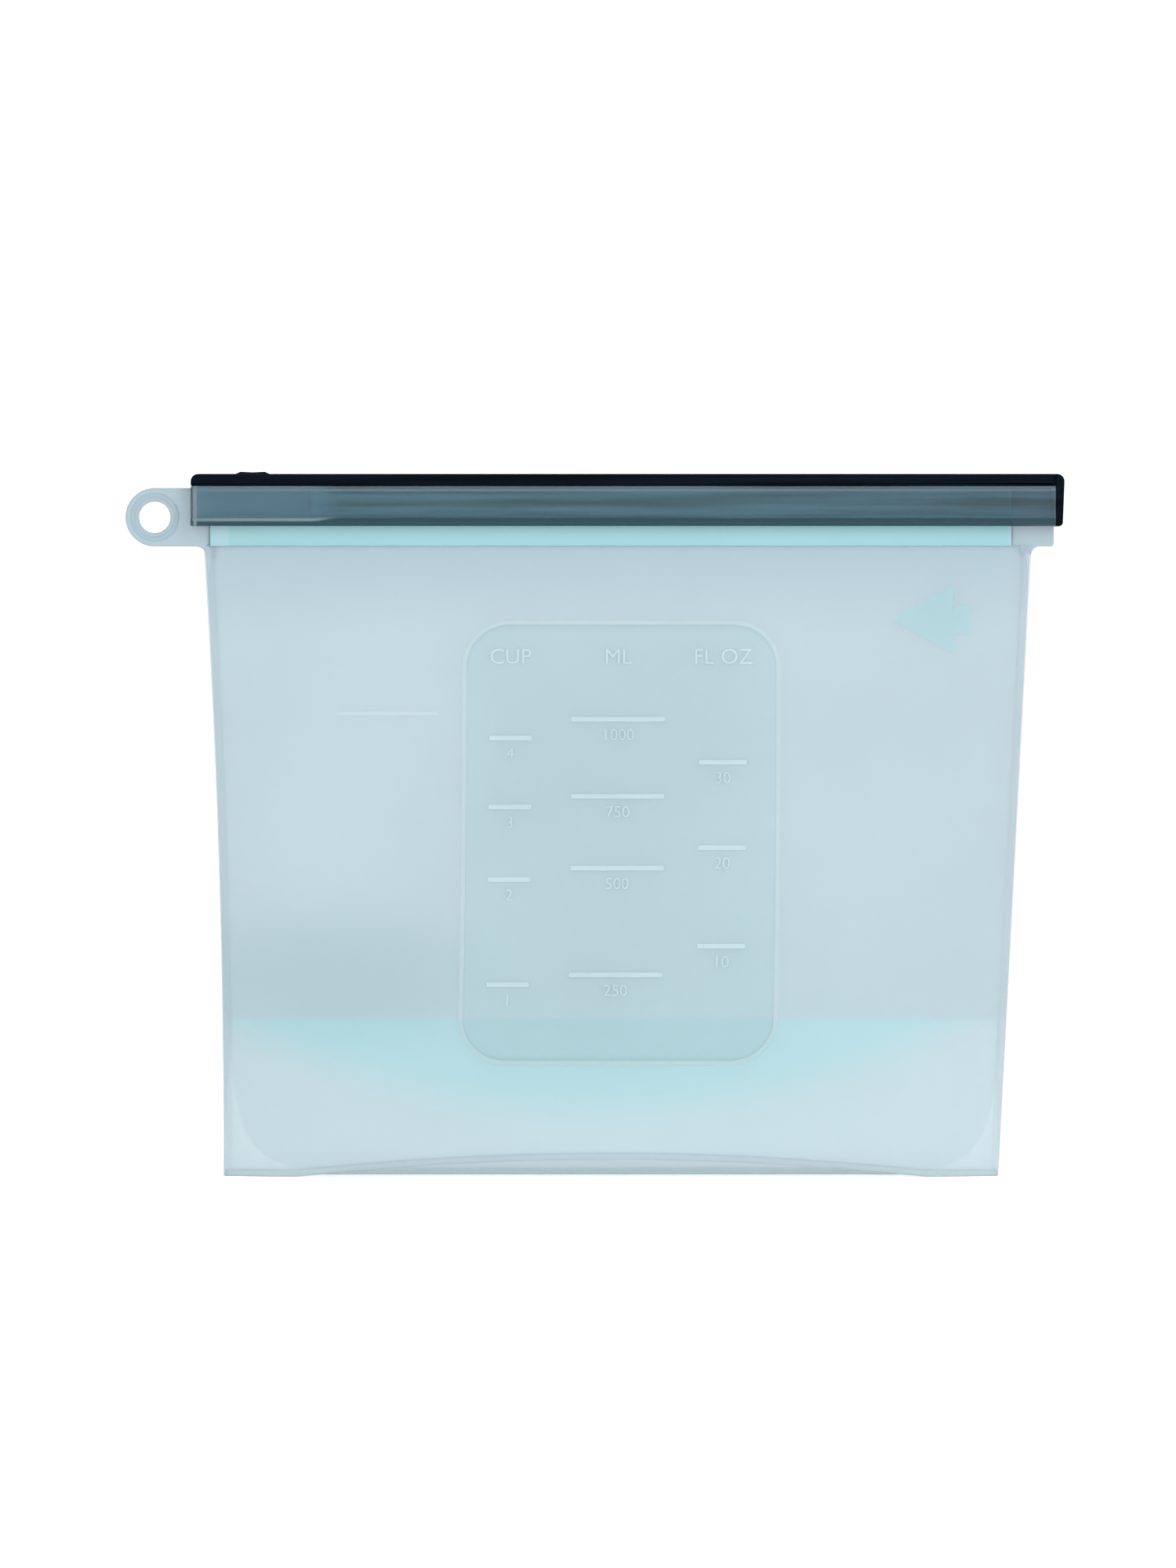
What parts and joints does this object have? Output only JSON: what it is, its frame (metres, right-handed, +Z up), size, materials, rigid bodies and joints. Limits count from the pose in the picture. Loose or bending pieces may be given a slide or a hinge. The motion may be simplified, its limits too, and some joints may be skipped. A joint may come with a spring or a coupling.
{
  "type": "reusable silicone bag",
  "caption": "Stand-up silicone food storage bag with a folding base gusset, raised measuring scale, hanging tab and slide-on closure bar.",
  "frame": {"origin": "centre of the bounding box in plan, on the surface that the bag stands on", "axes": "+Z up, +X along the closure bar towards its closed end, the measuring scale faces -Y"},
  "size_m": [0.24, 0.031, 0.18],
  "materials": {
    "silicone_panel": "satin, milky translucent",
    "silicone_relief": "satin, milky translucent",
    "silicone_edge": "satin, milky translucent",
    "silicone_rim": "satin, translucent",
    "silicone_gusset": "satin, milky translucent",
    "bar_smoke": "gloss, smoky translucent",
    "bar_black": "gloss"
  },
  "bodies": {
    "root": {"front_lip": "silicone_rim", "back_lip": "silicone_rim", "hang_tab": "silicone_edge", "end_tab": "silicone_edge", "left_seam": "silicone_edge", "right_seam": "silicone_edge", "front_left_fold": "silicone_panel", "front_right_fold": "silicone_panel", "back_left_fold": "silicone_panel", "back_right_fold": "silicone_panel"},
    "front_wall": {"front_panel": "silicone_panel", "scale_window": "silicone_relief", "cup_marks": "silicone_relief", "ml_marks": "silicone_relief", "oz_marks": "silicone_relief", "arrow_mark": "silicone_relief", "front_base_bead": "silicone_edge"},
    "back_wall": {"back_panel": "silicone_panel", "back_base_bead": "silicone_edge"},
    "front_gusset": {"front_gusset_leaf": "silicone_gusset"},
    "back_gusset": {"back_gusset_leaf": "silicone_gusset"},
    "closure_bar": {"bar_spine": "bar_black", "bar_front_wall": "bar_smoke", "bar_back_wall": "bar_smoke", "bar_end_cap": "bar_black", "bar_thumb_bump": "bar_black"}
  },
  "joints": [
    {"name": "bar_slide", "type": "slide", "parent": "root", "child": "closure_bar", "axis": [1, 0, 0], "range_m": [0, 0.23]},
    {"name": "front_wall_swing", "type": "hinge", "parent": "root", "child": "front_wall", "pos_m": [0, -0.0018, 0.16], "axis": [-1, 0, 0], "range_deg": [-3, 6], "deforming": ["front_left_fold", "front_right_fold"]},
    {"name": "back_wall_swing", "type": "hinge", "parent": "root", "child": "back_wall", "pos_m": [0, 0.0018, 0.16], "axis": [1, 0, 0], "range_deg": [-3.1, 6.1], "deforming": ["back_left_fold", "back_right_fold"]},
    {"name": "front_gusset_fold", "type": "hinge", "parent": "front_wall", "child": "front_gusset", "pos_m": [0, -0.01286, 0.001], "axis": [-1, 0, 0], "range_deg": [-9.5, 19]},
    {"name": "back_gusset_fold", "type": "hinge", "parent": "back_wall", "child": "back_gusset", "pos_m": [0, 0.01286, 0.001], "axis": [1, 0, 0], "range_deg": [-9.5, 19]}
  ],
  "couplings": [
    {"joint": "back_wall_swing", "follows": "front_wall_swing", "ratio": 1},
    {"joint": "front_gusset_fold", "follows": "front_wall_swing", "ratio": 3.08},
    {"joint": "back_gusset_fold", "follows": "front_wall_swing", "ratio": 3.08}
  ]
}
